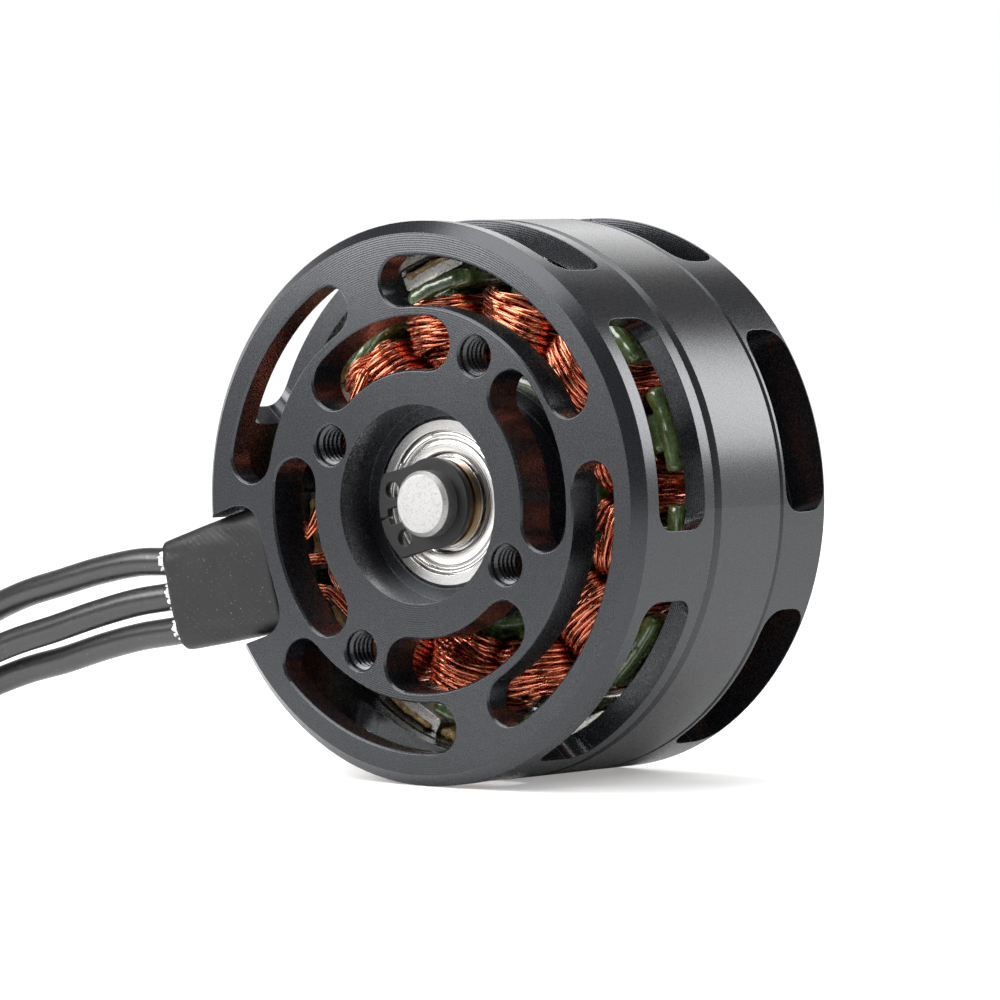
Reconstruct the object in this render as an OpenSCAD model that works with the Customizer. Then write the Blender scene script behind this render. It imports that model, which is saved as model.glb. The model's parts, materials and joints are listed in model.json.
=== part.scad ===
// Brushless outrunner motor, lying on its side.
// The mounting face looks along -Y, the shaft runs along Y, and Z is up.
// The origin is the centre of the mounting face.

/* [Motor] */
// Outer diameter of the base cup, the flux ring and the end bell
motor_d = 42.4; // [42.3:0.1:45]
// Length from the mounting face to the back of the end bell
motor_l = 23; // [22.9:0.1:26]
// Direction of the lead outlet in degrees, seen from the mounting face
lead_angle = 198.8; // [197:0.2:201]

/* [Base cup] */
// Length of the base cup
base_l = 8.92; // [8.8:0.02:9]
// Wall of the base cup's rim
base_wall = 1.8; // [1.4:0.1:2]
// Thickness of the face near the rim
face_t = 2.1; // [1.8:0.1:2.3]
// Thickness of the face round the bearing
pad_t = 3.3; // [3:0.1:3.4]
// Diameter of the thick part of the face
pad_d = 29.2; // [28.8:0.1:29.6]
// Chamfer of the face's outer edge
face_chamfer = 0.9; // [0.4:0.1:1.2]
// Chamfer of the slots and holes in the face
slot_chamfer = 0.15; // [0.05:0.05:0.2]
// Angle that a side window takes
base_window_angle = 45.5; // [40:0.5:50]
// Corner radius of the side windows
base_window_r = 1.5; // [0.8:0.1:2]
// Height of the closed rim behind the side windows
base_rim = 1.17; // [0.9:0.01:1.4]
// Width of the lead notch
notch_w = 10.3; // [10.2:0.1:11]
// Distance of the lead notch's bottom from the shaft axis
notch_bottom = 15.5; // [15.3:0.1:15.6]
// Corner radius of the lead notch
notch_r = 1.9; // [1:0.1:2]

/* [Face slots] */
// Centre radius of the outer slots
outer_slot_r = 16.775; // [16.6:0.025:16.9]
// Width of the outer slots
outer_slot_w = 3.75; // [3.2:0.05:3.9]
// Angle of each slot next to the lead notch
near_slot_angle = 61.4; // [50:0.2:63]
// Angle of each slot opposite the lead notch
far_slot_angle = 77.7; // [60:0.1:78]
// Centre radius of the inner slots
inner_slot_r = 12.125; // [12.1:0.025:12.2]
// Width of the inner slots
inner_slot_w = 4.05; // [3.4:0.05:4.1]
// Angle of each inner slot
inner_slot_angle = 67.2; // [56:0.2:68]

/* [Mounting holes] */
// Diameter of the mounting holes
mount_hole_d = 3; // [2.5:0.1:3.1]
// Spacing of the wide pair of mounting holes
wide_spacing = 25; // [24.6:0.1:25.2]
// Spacing of the narrow pair of mounting holes
narrow_spacing = 19; // [19:0.1:19.4]

/* [Bearings and shaft] */
// Outer diameter of the ball bearings
bearing_d = 13; // [12.8:0.1:13.2]
// Diameter of the shaft, and bore of the ball bearings
shaft_d = 5; // [4.8:0.1:5.1]
// Width of the ball bearings
bearing_w = 4; // [3.8:0.1:4.4]
// Depth of the front bearing behind the mounting face
pocket_depth = 3.45; // [3.4:0.01:3.6]
// Diameter of the open pocket in front of the bearing
pocket_d = 15; // [14.6:0.1:15.1]
// Outer diameter of the bearing tube, and bore of the stator
tube_d = 15.8; // [15.6:0.05:15.9]
// Distance of the shaft's front end behind the mounting face
shaft_inset = 0.4; // [0.1:0.1:0.8]
// Length of the shaft that stands proud behind the end bell
stub_l = 3; // [1.5:0.5:8]
// Diameter of that end of the shaft, which centres the propeller
stub_d = 4; // [3:0.1:4.7]
// Thickness of the circlip
clip_t = 0.6; // [0.4:0.05:0.7]
// Width of the circlip's ring
clip_w = 1.1; // [0.8:0.05:1.2]
// Thickness of each spacer washer
washer_t = 0.5; // [0.3:0.05:0.55]
// Diameter of the outer spacer washer
outer_washer_d = 6.3; // [6:0.1:6.6]
// Diameter of the inner spacer washer
inner_washer_d = 6.66; // [6.2:0.02:6.8]

/* [Stator] */
// Length of the steel core
core_l = 6; // [5.6:0.1:6.1]
// Width of each tooth's neck
neck_w = 2.6; // [2.4:0.05:2.65]
// Outer diameter of the core's yoke
yoke_d = 19.6; // [19.4:0.1:19.6]
// Thickness of the tooth tips
tip_t = 1.05; // [0.8:0.05:1.05]
// Angle of each tooth tip
tip_angle = 20.3; // [18:0.1:22]
// Thickness of the insulation on the core's two ends
coat_end = 0.4; // [0.3:0.05:0.45]
// Thickness of the insulation in the slots
coat_side = 0.25; // [0.15:0.05:0.3]
// Diameter of one bundle of winding wire
coil_wire_d = 0.9; // [0.7:0.05:0.9]
// Least distance between neighbouring turns
coil_pitch_min = 1.28; // [1.28:0.01:1.7]

/* [Rotor] */
// Gap between the base cup and the flux ring
rotor_gap = 0.43; // [0.3:0.01:0.5]
// Wall of the flux ring
ring_wall = 1.8; // [1.6:0.05:1.85]
// Chamfer of the flux ring's front edge
ring_chamfer = 0.45; // [0.1:0.05:0.6]
// Gap between the stator and the magnets
air_gap = 0.35; // [0.25:0.01:0.4]
// Width of each magnet
magnet_w = 6; // [5.4:0.1:6.1]
// Thickness of each magnet
magnet_t = 1.1; // [1:0.05:1.15]
// Length of each magnet
magnet_l = 6; // [5.6:0.1:6.1]
// Distance of the magnets behind the flux ring's front edge
magnet_inset = 1.1; // [1:0.05:1.2]

/* [End bell] */
// Length of the end bell's rim
bell_l = 5.75; // [5.5:0.05:5.8]
// Thickness of the end bell's plate
plate_t = 2.2; // [1.8:0.1:2.4]
// Angle that a window takes in the end bell's side
bell_window_angle = 39.4; // [34:0.2:42]
// Corner radius of the end bell's windows
bell_window_r = 1.6; // [0.8:0.1:1.9]
// Width of the closed rims in front of and behind the windows
bell_rim = 0.5; // [0.4:0.05:0.7]
// Diameter of the end bell's hub
hub_d = 20; // [18:0.2:22]
// Radial depth to which the windows cut into the end bell
plate_rim = 2.4; // [2:0.1:3]
// Width of the plate's closed band outside its openings
plate_band = 4.6; // [4:0.1:5]
// Angle of each opening in the plate
plate_hole_angle = 40; // [34:0.5:44]
// Corner radius of the plate's openings
plate_hole_r = 1.5; // [0.8:0.1:2]
// Diameter of the circle of the propeller adapter's holes
prop_circle_d = 12; // [11.6:0.1:14]
// Diameter of the propeller adapter's holes
prop_hole_d = 3; // [2.5:0.1:3]
// Diameter of the boss that rests on the rear bearing
boss_d = 6.8; // [6.4:0.1:7]
// Length of the boss
boss_l = 2.3; // [2:0.1:2.6]

/* [Leads] */
// Diameter of each silicone lead
lead_d = 2.2; // [2:0.05:2.3]
// Spacing of the phase tails in the sleeve
tail_pitch = 2.65; // [2.5:0.05:2.7]
// Width of the heat-shrink sleeve
sleeve_w = 9; // [8.6:0.1:9.1]
// Height of the heat-shrink sleeve
sleeve_h = 3.4; // [3.2:0.1:3.5]
// Wall of the heat-shrink sleeve
sleeve_wall = 0.4; // [0.25:0.05:0.4]
// Length of the heat-shrink sleeve
sleeve_l = 10.6; // [9:0.1:10.6]
// Diameter of each solder joint
solder_d = 1.9; // [1.6:0.1:2.2]
// Length of each solder joint
solder_l = 2.5; // [2:0.1:3]
// Diameter of the plugs' pins
plug_pin_d = 3.5; // [3:0.1:4]
// Length of the plugs' pins
plug_pin_l = 9; // [7:0.5:12]
// Diameter of the plugs' cups
plug_cup_d = 4.6; // [4.2:0.1:4.6]
// Length of the plugs' cups
plug_cup_l = 6.5; // [5:0.5:9]

/* [Hidden] */

$fn = 128;
over = 1;
window_step = 0.1;
round_step = 0.03;
seat_gap = 0.01;
wire_gap = 0.05;

// Depths run from the mounting face to the back
motor_r = motor_d / 2;
base_inner_r = motor_r - base_wall;
window_back = base_l - base_rim;
pad_r = pad_d / 2;
pocket_r = pocket_d / 2;
tube_r = tube_d / 2;
bearing_r = bearing_d / 2;
shaft_r = shaft_d / 2;
bearing_lip = 0.7;
tube_root = 1.5;
tube_proud = 0.1;
plate_front = motor_l - plate_t;
front_bearing_back = pocket_depth + bearing_w;
rear_bearing_back = plate_front - boss_l;
rear_bearing_front = rear_bearing_back - bearing_w;
tube_back = rear_bearing_back + tube_proud;

// Turn of the slots round the lead notch
slot_rib_angle = 12.2;
far_slot_turn = 180 - (slot_rib_angle + far_slot_angle) / 2;
near_slot_turn = far_slot_turn - far_slot_angle / 2 - slot_rib_angle - near_slot_angle / 2;

// Bearing inside
ball_count = 8;
ball_share = 0.25;
ball_r = ball_share * (bearing_r - shaft_r);
ball_circle_r = (bearing_r + shaft_r) / 2;
groove_gap = 0.03;
pocket_gap = 0.05;
outer_land_r = ball_circle_r + 0.75 * ball_r;
inner_land_r = ball_circle_r - 0.8 * ball_r;
inner_step = 0.15;
shield_step = 0.24;
shield_t = 0.25;
shield_inset = 0.15;
shield_gap = 0.2;
snap_w = 0.52;
snap_proud = 0.13;
race_chamfer = 0.28;
cage_half_t = 0.4 * ball_r;
cage_front_share = 0.6;
cage_back_share = 1.3;

// Circlip and washers
clip_gap = 0.05;
clip_groove = 0.15;
clip_back = pocket_depth - 2 * washer_t - clip_gap;
clip_front = clip_back - clip_t;
clip_turn = 195.8;
clip_eye_turn = 30;
clip_eye_r = 0.95;
clip_eye_hole_r = 0.5;
clip_gap_angle = 34;
shaft_chamfer = 0.32;

// Rotor
ring_front = base_l + rotor_gap;
bell_front = motor_l - bell_l;
ring_inner_r = motor_r - ring_wall;
joint_chamfer = 0.2;
bell_chamfer = 0.4;
rotor_turn = 17.92;
magnet_lead = 94.2;
magnet_turn = rotor_turn + magnet_lead;
magnet_count = 14;
magnet_chamfer = 0.15;
magnet_corner_gap = 0.015;
magnet_outer = sqrt(pow(ring_inner_r - magnet_corner_gap, 2) - pow(magnet_w / 2, 2));
magnet_inner = magnet_outer - magnet_t;
magnet_front = ring_front + magnet_inset;
magnet_back = magnet_front + magnet_l;
spigot_w = 1.2;
spigot_front = magnet_back + wire_gap;
bell_window_count = 6;
bell_window_turn = 360 / bell_window_count;

// Stator
tooth_count = 12;
first_tooth = lead_angle - 179.2;
stator_r = magnet_inner - air_gap;
core_inset = 0.75;
core_front = magnet_front - core_inset;
core_back = core_front + core_l;
coat_front = core_front - coat_end;
coat_back = core_back + coat_end;
coat_chamfer = 0.35;
coat_tip_inset = 0.1;
coat_bore_inset = 0.4;
yoke_r = yoke_d / 2;
tip_inner_r = stator_r - tip_t;
neck_overlap = 0.5;
collar_w = 1.1;
collar_l = 1.2;

// Windings: each coil is one tube that winds outwards along its tooth
coil_r = coil_wire_d / 2;
coil_half_w = neck_w / 2 + coat_side + wire_gap + coil_r;
coil_inner = yoke_r + coat_side + wire_gap + coil_r;
coil_outer = sqrt(pow(tip_inner_r - coat_side, 2) - pow(coil_half_w + coil_r, 2)) - wire_gap - coil_r;
coil_turns = floor((coil_outer - coil_inner) / coil_pitch_min);
coil_half_l = core_l / 2 + coat_end + wire_gap + coil_r;
coil_bend_r = 1.3 * coil_r;
coil_middle = core_front + core_l / 2;
coil_front = coil_middle - coil_half_l - coil_r;
coil_back = coil_middle + coil_half_l + coil_r;
coil_arc_share = 0.15;
coil_sides = 6;
phase_teeth = [[5, 6, 11, 0], [7, 8, 1, 2], [9, 10, 3, 4]];
link_first_teeth = [0, 8, 10];
link_angle = 150;
link_step = 1.4;
link_first_r = coil_inner + link_step;
link_depth = coil_back + wire_gap + coil_r;

// Lead outlet
sleeve_gap = 0.7;
sleeve_turn = lead_angle - 4;
sleeve_depth = 2.6;
tail_teeth = [4, 6, 7];
tail_sides = 8;
tail_start_r = coil_outer - 1.5 * coil_wire_d;
tail_straight = coil_wire_d;

// Lead routes, from inside the sleeve to the plug
lead_sides = 8;
lead_routes = [
    [
        [-21.6, 2.6, -4.1], [-26.3, 2.6, -5.3], [-30.2, 2.6, -5.6], [-34.4, 2.7, -6.4],
        [-38.6, 2.8, -7.5], [-43, 3, -8.7], [-47.6, 3.4, -10.5], [-52.2, 4, -13],
        [-56.8, 4.6, -16], [-61.5, 5, -18.7], [-65.6, 5.3, -20.1], [-70.5, 6.1, -20.1],
        [-75.5, 7.3, -20.1], [-80.5, 8.9, -20.1], [-85.5, 10.6, -20.1], [-90.5, 12, -20.1],
        [-95.5, 13, -20.1], [-100.5, 13.6, -20.1], [-105, 13.8, -19.8], [-108.8, 13.8, -19.2],
        [-112, 13.8, -18.9], [-115.6, 13.8, -18.9]
    ],
    [
        [-20.9, 2.6, -6.7], [-25.6, 2.6, -7.9], [-30.2, 2.4, -8.7], [-34.4, 2.2, -9.8],
        [-38.6, 2, -11.1], [-43, 1.8, -12.4], [-47.6, 1.4, -14.2], [-52.2, 0.9, -16.3],
        [-57, 0.4, -18.6], [-61.5, 0.2, -20.1], [-67, 0.3, -20.1], [-72, 0.6, -20.1],
        [-77, 1, -20.1], [-82, 1.4, -20.1], [-87, 1.9, -20.1], [-92, 2.5, -20.1],
        [-97, 3, -20.1], [-102, 3.3, -20.1], [-106.5, 3.4, -19.8], [-110.5, 3.4, -19.2],
        [-114, 3.4, -18.9], [-117.4, 3.4, -18.9]
    ],
    [
        [-20.2, 2.6, -9.2], [-24.9, 2.6, -10.5], [-30.2, 2.9, -11.4], [-34.4, 3.1, -12.4],
        [-38.6, 3.3, -13.6], [-43, 3.4, -14.7], [-47.6, 3.3, -16.3], [-52.2, 3.1, -18.3],
        [-57, 2.8, -19.8], [-61.8, 2.7, -20.1], [-67, 2.8, -20.1], [-72, 3.3, -20.1],
        [-77, 4.3, -20.1], [-82, 5.5, -20.1], [-87, 6.7, -20.1], [-92, 7.6, -20.1],
        [-97, 8.2, -20.1], [-101.8, 8.5, -20.1], [-106, 8.6, -19.8], [-109.8, 8.6, -19.2],
        [-113, 8.6, -18.9], [-116.4, 8.6, -18.9]
    ]
];
plug_rim = 0.3;
plug_rim_l = 1;
plug_nose_share = 0.6;
plug_nose_l = 1.4;

// Points and directions
function unit(v) = v / norm(v);
function in_motor(angle, r, depth) = [r * cos(angle), depth, r * sin(angle)];
function in_sleeve(along, side, depth) = in_motor(lead_angle, notch_bottom + sleeve_gap, depth)
    + in_motor(sleeve_turn, along, 0) + in_motor(sleeve_turn + 90, side, 0);
function tooth_angle(tooth) = first_tooth + 360 / tooth_count * tooth;

// Sweep of a round section along a path
function step_before(path, i) = unit(path[i] - path[i - 1]);
function heading(path, i) = i == 0 ? step_before(path, 1)
    : i == len(path) - 1 ? step_before(path, i)
    : unit(step_before(path, i) + step_before(path, i + 1));
function squared(v, along) = unit(v - (v * along) * along);
function across(path, first) = [
    for (
        i = 0, v = squared(first, heading(path, 0));
        i < len(path);
        v = i + 1 < len(path) ? squared(v, heading(path, i + 1)) : v, i = i + 1
    ) v
];

module round_tube(path, r, sides, first) {
    side_dirs = across(path, first);
    last = (len(path) - 1) * sides;
    points = [
        for (i = [0:len(path) - 1], j = [0:sides - 1])
            path[i] + r * cos(360 * j / sides) * side_dirs[i]
                + r * sin(360 * j / sides) * cross(heading(path, i), side_dirs[i])
    ];
    walls = [
        for (i = [0:sides:last - 1], j = [0:sides - 1], half = [0, 1])
            let (next = (j + 1) % sides)
            half == 0 ? [i + j, i + sides + j, i + sides + next] : [i + j, i + sides + next, i + next]
    ];
    caps = [
        for (j = [1:sides - 2], end = [0, 1])
            end == 0 ? [0, j, j + 1] : [last, last + j + 1, last + j]
    ];
    polyhedron(points, concat(walls, caps));
}

// Stands a shape up whose mounting face is its plane z = 0 and whose body hangs below it
module upright() {
    rotate([90, 0, 0]) children();
}

// Turned body from an outline of [radius, depth] points
module turned(outline) {
    rotate_extrude() polygon([for (p = outline) [p[0], -p[1]]]);
}

module ring(inner, outer, front, back) {
    turned([[inner, front], [outer, front], [outer, back], [inner, back]]);
}

// Part of a ring, centred on an angle
module ring_sector(inner, outer, front, back, middle, angle) {
    rotate([0, 0, middle - angle / 2])
        rotate_extrude(angle = angle)
            polygon([[inner, -front], [outer, -front], [outer, -back], [inner, -back]]);
}

module placed(angle, r) {
    rotate([0, 0, angle]) translate([r, 0, 0]) children();
}

// Hole from the mounting face, with a chamfered mouth
module face_hole(angle, r, hole_r, depth) {
    placed(angle, r) turned([
        [0, -over], [hole_r + slot_chamfer, -over], [hole_r + slot_chamfer, 0],
        [hole_r, slot_chamfer], [hole_r, depth], [0, depth]
    ]);
}

// Curved slot in the face, with round ends and a chamfered mouth
module face_slot(middle, r, width, angle, depth) {
    half = width / 2;
    straight = angle - 2 * asin(half / r);
    rotate([0, 0, middle - straight / 2])
        rotate_extrude(angle = straight)
            polygon([
                [r - half - slot_chamfer, over], [r - half - slot_chamfer, 0],
                [r - half, -slot_chamfer], [r - half, -depth], [r + half, -depth],
                [r + half, -slot_chamfer], [r + half + slot_chamfer, 0],
                [r + half + slot_chamfer, over]
            ]);
    for (side = [-1, 1])
        face_hole(middle + side * straight / 2, r, half - round_step, depth);
}

// Window milled through a round wall, with parallel sides and round corners
module wall_window(middle, angle, front, back, corner, inner, outer) {
    half = outer * sin(angle / 2);
    start = sqrt(pow(inner, 2) - pow(half, 2));
    length = outer + over - start;
    placed(middle, start) {
        translate([0, -half, corner - back])
            cube([length, 2 * half, back - front - 2 * corner]);
        translate([0, corner - half, -back])
            cube([length, 2 * (half - corner), back - front]);
        for (side = [-1, 1], depth = [front + corner, back - corner])
            translate([0, side * (half - corner), -depth]) rotate([0, 90, 0])
                cylinder(r = corner - round_step, h = length);
    }
}

// Opening through a plate between two radii, with round corners
module plate_opening(middle, angle, front, back, corner, inner, outer) {
    inner_turn = asin(corner / (inner + corner));
    outer_turn = asin(corner / (outer - corner));
    halfway = (inner + outer) / 2;
    ring_sector((inner + corner) * cos(inner_turn), (outer - corner) * cos(outer_turn),
        front, back, middle, angle);
    ring_sector(inner, halfway, front, back, middle, angle - 2 * inner_turn);
    ring_sector(halfway - over, outer, front, back, middle, angle - 2 * outer_turn);
    for (side = [-1, 1]) {
        placed(middle + side * (angle / 2 - inner_turn), inner + corner)
            ring(0, corner - round_step, front, back);
        placed(middle + side * (angle / 2 - outer_turn), outer - corner)
            ring(0, corner - round_step, front, back);
    }
}

module lead_notch() {
    length = motor_r + over - notch_bottom;
    rotate([0, 0, lead_angle]) {
        translate([notch_bottom + notch_r, -notch_w / 2, -window_back])
            cube([length - notch_r, notch_w, window_back + over]);
        translate([notch_bottom, notch_r - notch_w / 2, -window_back])
            cube([length, notch_w - 2 * notch_r, window_back + over]);
        for (side = [-1, 1])
            translate([notch_bottom + notch_r, side * (notch_w / 2 - notch_r), -window_back])
                cylinder(r = notch_r - round_step, h = window_back + over);
    }
}

module base_cup() {
    color("#26282b") upright() difference() {
        base_cup_with_slots();
        for (turn = [60:60:300])
            wall_window(lead_angle + turn, base_window_angle, face_t + window_step, window_back,
                base_window_r, base_inner_r - window_step, motor_r);
        lead_notch();
    }
}

module base_cup_with_slots() {
    difference() {
        base_cup_with_outer_slots();
        for (turn = [0:90:270])
            face_slot(lead_angle + turn, inner_slot_r, inner_slot_w, inner_slot_angle, pad_t + over);
        for (side = [-1, 1]) {
            face_hole(lead_angle - 45 + side * 90, wide_spacing / 2, mount_hole_d / 2, pad_t + over);
            face_hole(lead_angle + 45 + side * 90, narrow_spacing / 2, mount_hole_d / 2,
                pad_t + tube_root + over);
        }
    }
}

module base_cup_with_outer_slots() {
    difference() {
        base_cup_blank();
        for (side = [-1, 1]) {
            face_slot(lead_angle + side * near_slot_turn, outer_slot_r, outer_slot_w,
                near_slot_angle, face_t + over);
            face_slot(lead_angle + side * far_slot_turn, outer_slot_r, outer_slot_w,
                far_slot_angle, face_t + over);
        }
    }
}

// The cup as turned, with the bearing tube and the stator's collar
module base_cup_blank() {
    turned([
        [pocket_r, 0], [motor_r - face_chamfer, 0], [motor_r, face_chamfer],
        [motor_r, base_l], [base_inner_r, base_l], [base_inner_r, face_t], [pad_r, face_t],
        [pad_r, pad_t], [tube_r + tube_root, pad_t], [tube_r, pad_t + tube_root],
        [tube_r, coat_front - collar_l], [tube_r + collar_w, coat_front - collar_l],
        [tube_r + collar_w, coat_front - seat_gap], [tube_r, coat_front - seat_gap],
        [tube_r, tube_back], [bearing_r, tube_back], [bearing_r, rear_bearing_front],
        [bearing_r - bearing_lip, rear_bearing_front],
        [bearing_r - bearing_lip, front_bearing_back], [bearing_r, front_bearing_back],
        [bearing_r, pocket_depth], [pocket_r, pocket_depth]
    ]);
}

module outer_race(front) {
    middle = front + bearing_w / 2;
    seat = shield_inset + shield_t + seat_gap;
    color("#c9ccd1") upright() difference() {
        turned([
            [outer_land_r + shield_step, front], [bearing_r - race_chamfer, front],
            [bearing_r - seat_gap, front + race_chamfer],
            [bearing_r - seat_gap, front + bearing_w - race_chamfer],
            [bearing_r - race_chamfer, front + bearing_w], [outer_land_r + shield_step, front + bearing_w],
            [outer_land_r + shield_step, front + bearing_w - seat], [outer_land_r, front + bearing_w - seat],
            [outer_land_r, front + seat], [outer_land_r + shield_step, front + seat]
        ]);
        ball_groove(middle);
    }
}

module inner_race(front) {
    middle = front + bearing_w / 2;
    seat = shield_inset + shield_t + shield_gap;
    color("#d3d6da") upright() difference() {
        turned([
            [shaft_r + seat_gap, front], [inner_land_r - inner_step, front],
            [inner_land_r - inner_step, front + seat], [inner_land_r, front + seat],
            [inner_land_r, front + bearing_w - seat], [inner_land_r - inner_step, front + bearing_w - seat],
            [inner_land_r - inner_step, front + bearing_w], [shaft_r + seat_gap, front + bearing_w]
        ]);
        ball_groove(middle);
    }
}

module ball_groove(middle) {
    translate([0, 0, -middle])
        rotate_extrude() translate([ball_circle_r, 0]) circle(r = ball_r + groove_gap);
}

module shields(front) {
    inner = inner_land_r - inner_step + shield_gap;
    outer = outer_land_r + shield_step - seat_gap;
    color("#b8bcc2") upright() for (back = [0, 1])
        translate([0, 0, -front - back * bearing_w]) mirror([0, 0, back]) {
            ring(inner, outer, shield_inset, shield_inset + shield_t);
            ring(outer - snap_w, outer, shield_inset - snap_proud, shield_inset + shield_t / 2);
        }
}

module cage(front) {
    middle = front + bearing_w / 2;
    color("#b08d57") upright() difference() {
        ring(ball_circle_r - cage_half_t, ball_circle_r + cage_half_t,
            middle - cage_front_share * ball_r, middle + cage_back_share * ball_r);
        for (i = [0:ball_count - 1])
            placed(360 / ball_count * i, ball_circle_r)
                translate([0, 0, -middle]) sphere(r = ball_r + pocket_gap);
    }
}

module balls(front) {
    color("#e4e6e8") upright() for (i = [0:ball_count - 1])
        placed(360 / ball_count * i, ball_circle_r)
            translate([0, 0, -front - bearing_w / 2]) sphere(r = ball_r);
}

module front_outer_race() {
    outer_race(pocket_depth);
}

module front_inner_race() {
    inner_race(pocket_depth);
}

module front_shields() {
    shields(pocket_depth);
}

module front_cage() {
    cage(pocket_depth);
}

module front_balls() {
    balls(pocket_depth);
}

module rear_outer_race() {
    outer_race(rear_bearing_front);
}

module rear_inner_race() {
    inner_race(rear_bearing_front);
}

module rear_shields() {
    shields(rear_bearing_front);
}

module rear_cage() {
    cage(rear_bearing_front);
}

module rear_balls() {
    balls(rear_bearing_front);
}

module shaft() {
    back = motor_l + stub_l;
    stub_r = stub_d / 2;
    color("#c4c6c8") upright() turned([
        [0, shaft_inset], [shaft_r - shaft_chamfer, shaft_inset], [shaft_r, shaft_inset + shaft_chamfer],
        [shaft_r, clip_front - seat_gap], [shaft_r - clip_groove, clip_front - seat_gap],
        [shaft_r - clip_groove, clip_back + clip_gap], [shaft_r, clip_back + clip_gap],
        [shaft_r, motor_l], [stub_r, motor_l],
        [stub_r, back - shaft_chamfer], [stub_r - shaft_chamfer, back], [0, back]
    ]);
}

module circlip() {
    inner = shaft_r - clip_groove + seat_gap;
    eye_circle_r = inner + clip_w + clip_eye_hole_r - wire_gap;
    color("#17181a") upright() difference() {
        union() {
            ring(inner, inner + clip_w, clip_front, clip_back);
            for (side = [-1, 1])
                placed(clip_turn + side * clip_eye_turn, eye_circle_r)
                    ring(0, clip_eye_r, clip_front, clip_back);
        }
        ring(0, inner, clip_front - over, clip_back + over);
        ring_sector(0, eye_circle_r + 2 * clip_eye_r, clip_front - over, clip_back + over,
            clip_turn, clip_gap_angle);
        for (side = [-1, 1])
            placed(clip_turn + side * clip_eye_turn, eye_circle_r)
                ring(0, clip_eye_hole_r, clip_front - over, clip_back + over);
    }
}

module washer(outer, back) {
    color("#b5893c") upright()
        ring(shaft_r + seat_gap, outer, back - washer_t, back - seat_gap);
}

module outer_washer() {
    washer(outer_washer_d / 2, pocket_depth - washer_t);
}

module inner_washer() {
    washer(inner_washer_d / 2, pocket_depth);
}

// Yoke, necks and tips, all grown by the same amount
module stator_shape(grow, bore, outer, front, back) {
    tip_growth = 2 * asin(grow / outer);
    ring(bore, yoke_r + grow, front, back);
    for (tooth = [0:tooth_count - 1]) {
        rotate([0, 0, tooth_angle(tooth)])
            translate([yoke_r - neck_overlap, -neck_w / 2 - grow, -back])
                cube([tip_inner_r - yoke_r + 2 * neck_overlap, neck_w + 2 * grow, back - front]);
        ring_sector(tip_inner_r - grow, outer, front, back, tooth_angle(tooth),
            tip_angle + tip_growth);
    }
}

module stator_core() {
    color("#8d9196") upright()
        stator_shape(0, tube_r + seat_gap, stator_r, core_front, core_back);
}

module stator_insulation() {
    outer = stator_r - coat_tip_inset;
    color("#1f5a3a") upright() difference() {
        intersection() {
            stator_shape(coat_side, tube_r + coat_bore_inset, outer, coat_front, coat_back);
            turned([
                [0, coat_front], [outer - coat_chamfer, coat_front], [outer, coat_front + coat_chamfer],
                [outer, coat_back - coat_chamfer], [outer - coat_chamfer, coat_back], [0, coat_back]
            ]);
        }
        stator_shape(seat_gap, 0, stator_r + over, core_front - seat_gap, core_back + seat_gap);
    }
}

// Corner points of a coil, three to each rounded corner, and its two straight ends
function coil_corner(quarter, part) =
    let (
        side = quarter % 4 < 2 ? 1 : -1,
        end = quarter % 4 == 1 || quarter % 4 == 2 ? 1 : -1,
        angle = 90 * quarter + 45 * part - 90,
        share = (quarter + 0.5 + (part - 1) * coil_arc_share) / (4 * coil_turns)
    )
    [
        coil_inner + (coil_outer - coil_inner) * share,
        side * (coil_half_w - coil_bend_r) + coil_bend_r * cos(angle),
        end * (coil_half_l - coil_bend_r) + coil_bend_r * sin(angle) - coil_middle
    ];
function coil_path() = concat(
    [[coil_inner, 0, -coil_middle - coil_half_l]],
    [for (quarter = [0:4 * coil_turns - 1], part = [0:2]) coil_corner(quarter, part)],
    [[coil_outer, 0, -coil_middle - coil_half_l]]
);

// Least gap between a coil's turns, measured between its points
function least_gap(path) = min([
    for (i = [0:len(path) - 1], j = [i + 6:1:len(path) - 1]) norm(path[i] - path[j])
]) - coil_wire_d;
echo(least_coil_gap = least_gap(coil_path()), coil_turns = coil_turns);

module winding(teeth) {
    color("#b5541c") upright() for (tooth = teeth)
        rotate([0, 0, tooth_angle(tooth)])
            round_tube(coil_path(), coil_r, coil_sides, [1, 0, 0]);
}

module winding_a() {
    winding(phase_teeth[0]);
}

module winding_b() {
    winding(phase_teeth[1]);
}

module winding_c() {
    winding(phase_teeth[2]);
}

module link_wires() {
    color("#a84c18") upright() for (phase = [0:2])
        translate([0, 0, -link_depth])
            rotate([0, 0, tooth_angle(link_first_teeth[phase])])
                rotate_extrude(angle = link_angle)
                    translate([link_first_r + phase * link_step, 0]) circle(r = coil_r);
}

module flux_ring() {
    back = bell_front - seat_gap;
    color("#2b2d30") upright() turned([
        [ring_inner_r, ring_front], [motor_r - ring_chamfer, ring_front],
        [motor_r, ring_front + ring_chamfer], [motor_r, back - joint_chamfer],
        [motor_r - joint_chamfer, back], [ring_inner_r, back]
    ]);
}

module magnets() {
    half = magnet_w / 2;
    color("#c6c2b6") upright() for (i = [0:magnet_count - 1])
        rotate([0, 0, magnet_turn + 360 / magnet_count * i])
            translate([0, 0, -magnet_back])
                linear_extrude(magnet_l) polygon([
                    [magnet_inner + magnet_chamfer, -half], [magnet_outer, -half], [magnet_outer, half],
                    [magnet_inner + magnet_chamfer, half], [magnet_inner, half - magnet_chamfer],
                    [magnet_inner, magnet_chamfer - half]
                ]);
}

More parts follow.
